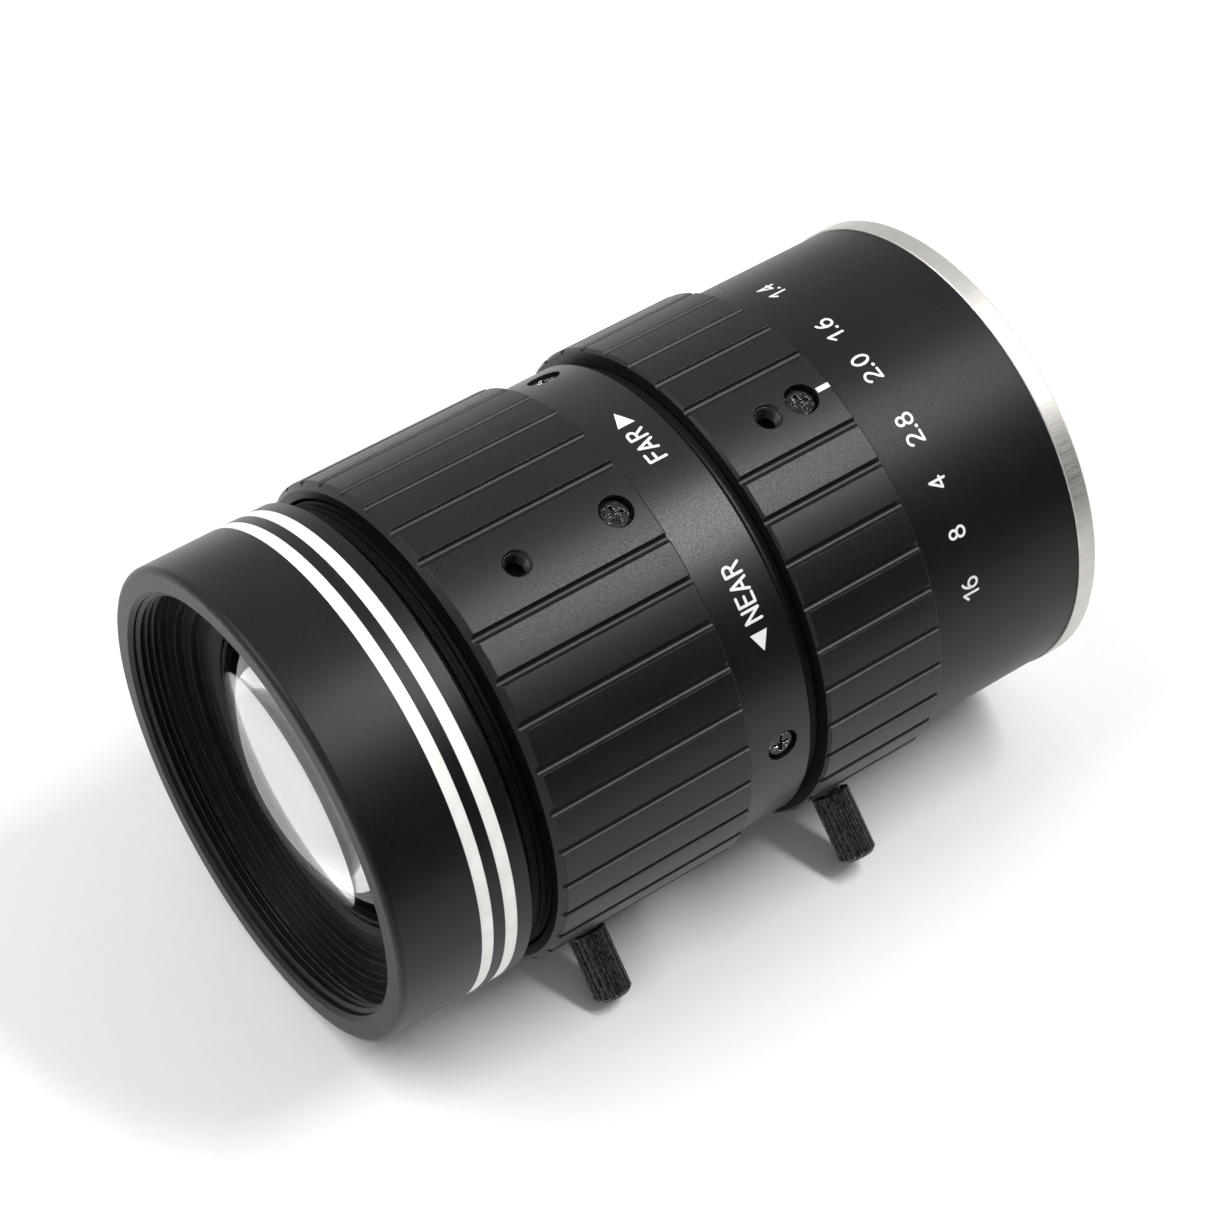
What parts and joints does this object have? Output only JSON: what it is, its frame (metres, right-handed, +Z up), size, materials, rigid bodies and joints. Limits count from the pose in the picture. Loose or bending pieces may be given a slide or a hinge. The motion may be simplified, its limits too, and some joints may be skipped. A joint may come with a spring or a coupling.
{
  "type": "c-mount machine vision lens",
  "caption": "Fixed focal length C-mount machine vision lens with turning focus and iris rings, lock thumbscrews, a threaded hood and a working iris.",
  "frame": {"origin": "on the optical axis, in the plane of the C-mount flange face", "axes": "+X along the optical axis out of the camera side, -X is the way the lens looks; +Z up, with the lens lying on its grip rings and its focus thumbscrew"},
  "size_m": [0.0887, 0.0522, 0.0522],
  "materials": {
    "black_anodised": "satin black anodised",
    "black_inner": "matt black anodised",
    "grip_black": "fine satin black anodised grip",
    "nickel": "turned nickel",
    "screw_black": "glossy black oxide",
    "blade_black": "matt black",
    "coated_glass": "coated optical glass"
  },
  "bodies": {
    "fixed_barrel": {"main_tube": "black_inner", "focus_stop_ring": "black_inner", "mid_ring": "black_anodised", "mid_screw_1": "screw_black", "mid_screw_2": "screw_black", "mid_screw_3": "screw_black", "rear_barrel": "black_anodised", "mount_ring": "nickel", "mount_screw_1": "screw_black", "mount_screw_2": "screw_black", "mount_screw_3": "screw_black", "rear_cell": "black_inner", "rear_inner_lens": "coated_glass", "rear_inner_ring": "black_inner", "rear_glass": "coated_glass", "rear_glass_ring": "black_inner", "iris_housing": "black_inner", "iris_retainer": "black_inner"},
    "front_group": {"front_barrel": "black_anodised", "front_glass": "coated_glass", "front_retainer": "black_inner", "focus_cell": "black_inner", "cell_front_lens": "coated_glass", "cell_front_ring": "black_inner", "cell_rear_lens": "coated_glass", "cell_rear_ring": "black_inner", "cam_pin_1": "nickel", "cam_pin_2": "nickel"},
    "focus_grip": {"focus_ring": "grip_black", "focus_stop_screw": "screw_black"},
    "focus_lock": {"focus_thumbscrew": "screw_black"},
    "iris_grip": {"iris_ring": "grip_black", "iris_drive_screw": "screw_black", "iris_actuator": "black_inner"},
    "iris_lock": {"iris_thumbscrew": "screw_black"},
    "blade_1": {"iris_blade_1": "blade_black"},
    "blade_2": {"iris_blade_2": "blade_black"},
    "blade_3": {"iris_blade_3": "blade_black"},
    "blade_4": {"iris_blade_4": "blade_black"},
    "blade_5": {"iris_blade_5": "blade_black"},
    "blade_6": {"iris_blade_6": "blade_black"}
  },
  "joints": [
    {"name": "focus_turn", "type": "hinge", "parent": "fixed_barrel", "child": "focus_grip", "pos_m": [-0.0558, 0, 0], "axis": [1, 0, 0], "range_deg": [-60, 60]},
    {"name": "focus_slide", "type": "slide", "parent": "fixed_barrel", "child": "front_group", "axis": [-1, 0, 0], "range_m": [-0.0006, 0.0006]},
    {"name": "focus_lock_turn", "type": "hinge", "parent": "focus_grip", "child": "focus_lock", "pos_m": [-0.0588, -0.02056, -0.02185], "axis": [0, 0.6852, 0.7284], "range_deg": [-360, 240]},
    {"name": "iris_turn", "type": "hinge", "parent": "fixed_barrel", "child": "iris_grip", "pos_m": [-0.028, 0, 0], "axis": [1, 0, 0], "range_deg": [-35.2, 57]},
    {"name": "iris_lock_turn", "type": "hinge", "parent": "iris_grip", "child": "iris_lock", "pos_m": [-0.0285, -0.02167, -0.02074], "axis": [0, 0.7224, 0.6915], "range_deg": [-360, 240]},
    {"name": "blade_1_turn", "type": "hinge", "parent": "fixed_barrel", "child": "blade_1", "pos_m": [-0.0272, 0.01017, 0.00727], "axis": [1, 0, 0], "range_deg": [-10.88, 17.62]},
    {"name": "blade_2_turn", "type": "hinge", "parent": "fixed_barrel", "child": "blade_2", "pos_m": [-0.0272, -0.00121, 0.01244], "axis": [1, 0, 0], "range_deg": [-10.88, 17.62]},
    {"name": "blade_3_turn", "type": "hinge", "parent": "fixed_barrel", "child": "blade_3", "pos_m": [-0.0272, -0.01138, 0.00517], "axis": [1, 0, 0], "range_deg": [-10.88, 17.62]},
    {"name": "blade_4_turn", "type": "hinge", "parent": "fixed_barrel", "child": "blade_4", "pos_m": [-0.0272, -0.01017, -0.00727], "axis": [1, 0, 0], "range_deg": [-10.88, 17.62]},
    {"name": "blade_5_turn", "type": "hinge", "parent": "fixed_barrel", "child": "blade_5", "pos_m": [-0.0272, 0.00121, -0.01244], "axis": [1, 0, 0], "range_deg": [-10.88, 17.62]},
    {"name": "blade_6_turn", "type": "hinge", "parent": "fixed_barrel", "child": "blade_6", "pos_m": [-0.0272, 0.01138, -0.00517], "axis": [1, 0, 0], "range_deg": [-10.88, 17.62]}
  ],
  "couplings": [
    {"joint": "focus_slide", "follows": "focus_turn", "m_per_rad": 0.00057296},
    {"joint": "blade_1_turn", "follows": "iris_turn", "ratio": 0.30891},
    {"joint": "blade_2_turn", "follows": "iris_turn", "ratio": 0.30891},
    {"joint": "blade_3_turn", "follows": "iris_turn", "ratio": 0.30891},
    {"joint": "blade_4_turn", "follows": "iris_turn", "ratio": 0.30891},
    {"joint": "blade_5_turn", "follows": "iris_turn", "ratio": 0.30891},
    {"joint": "blade_6_turn", "follows": "iris_turn", "ratio": 0.30891}
  ]
}
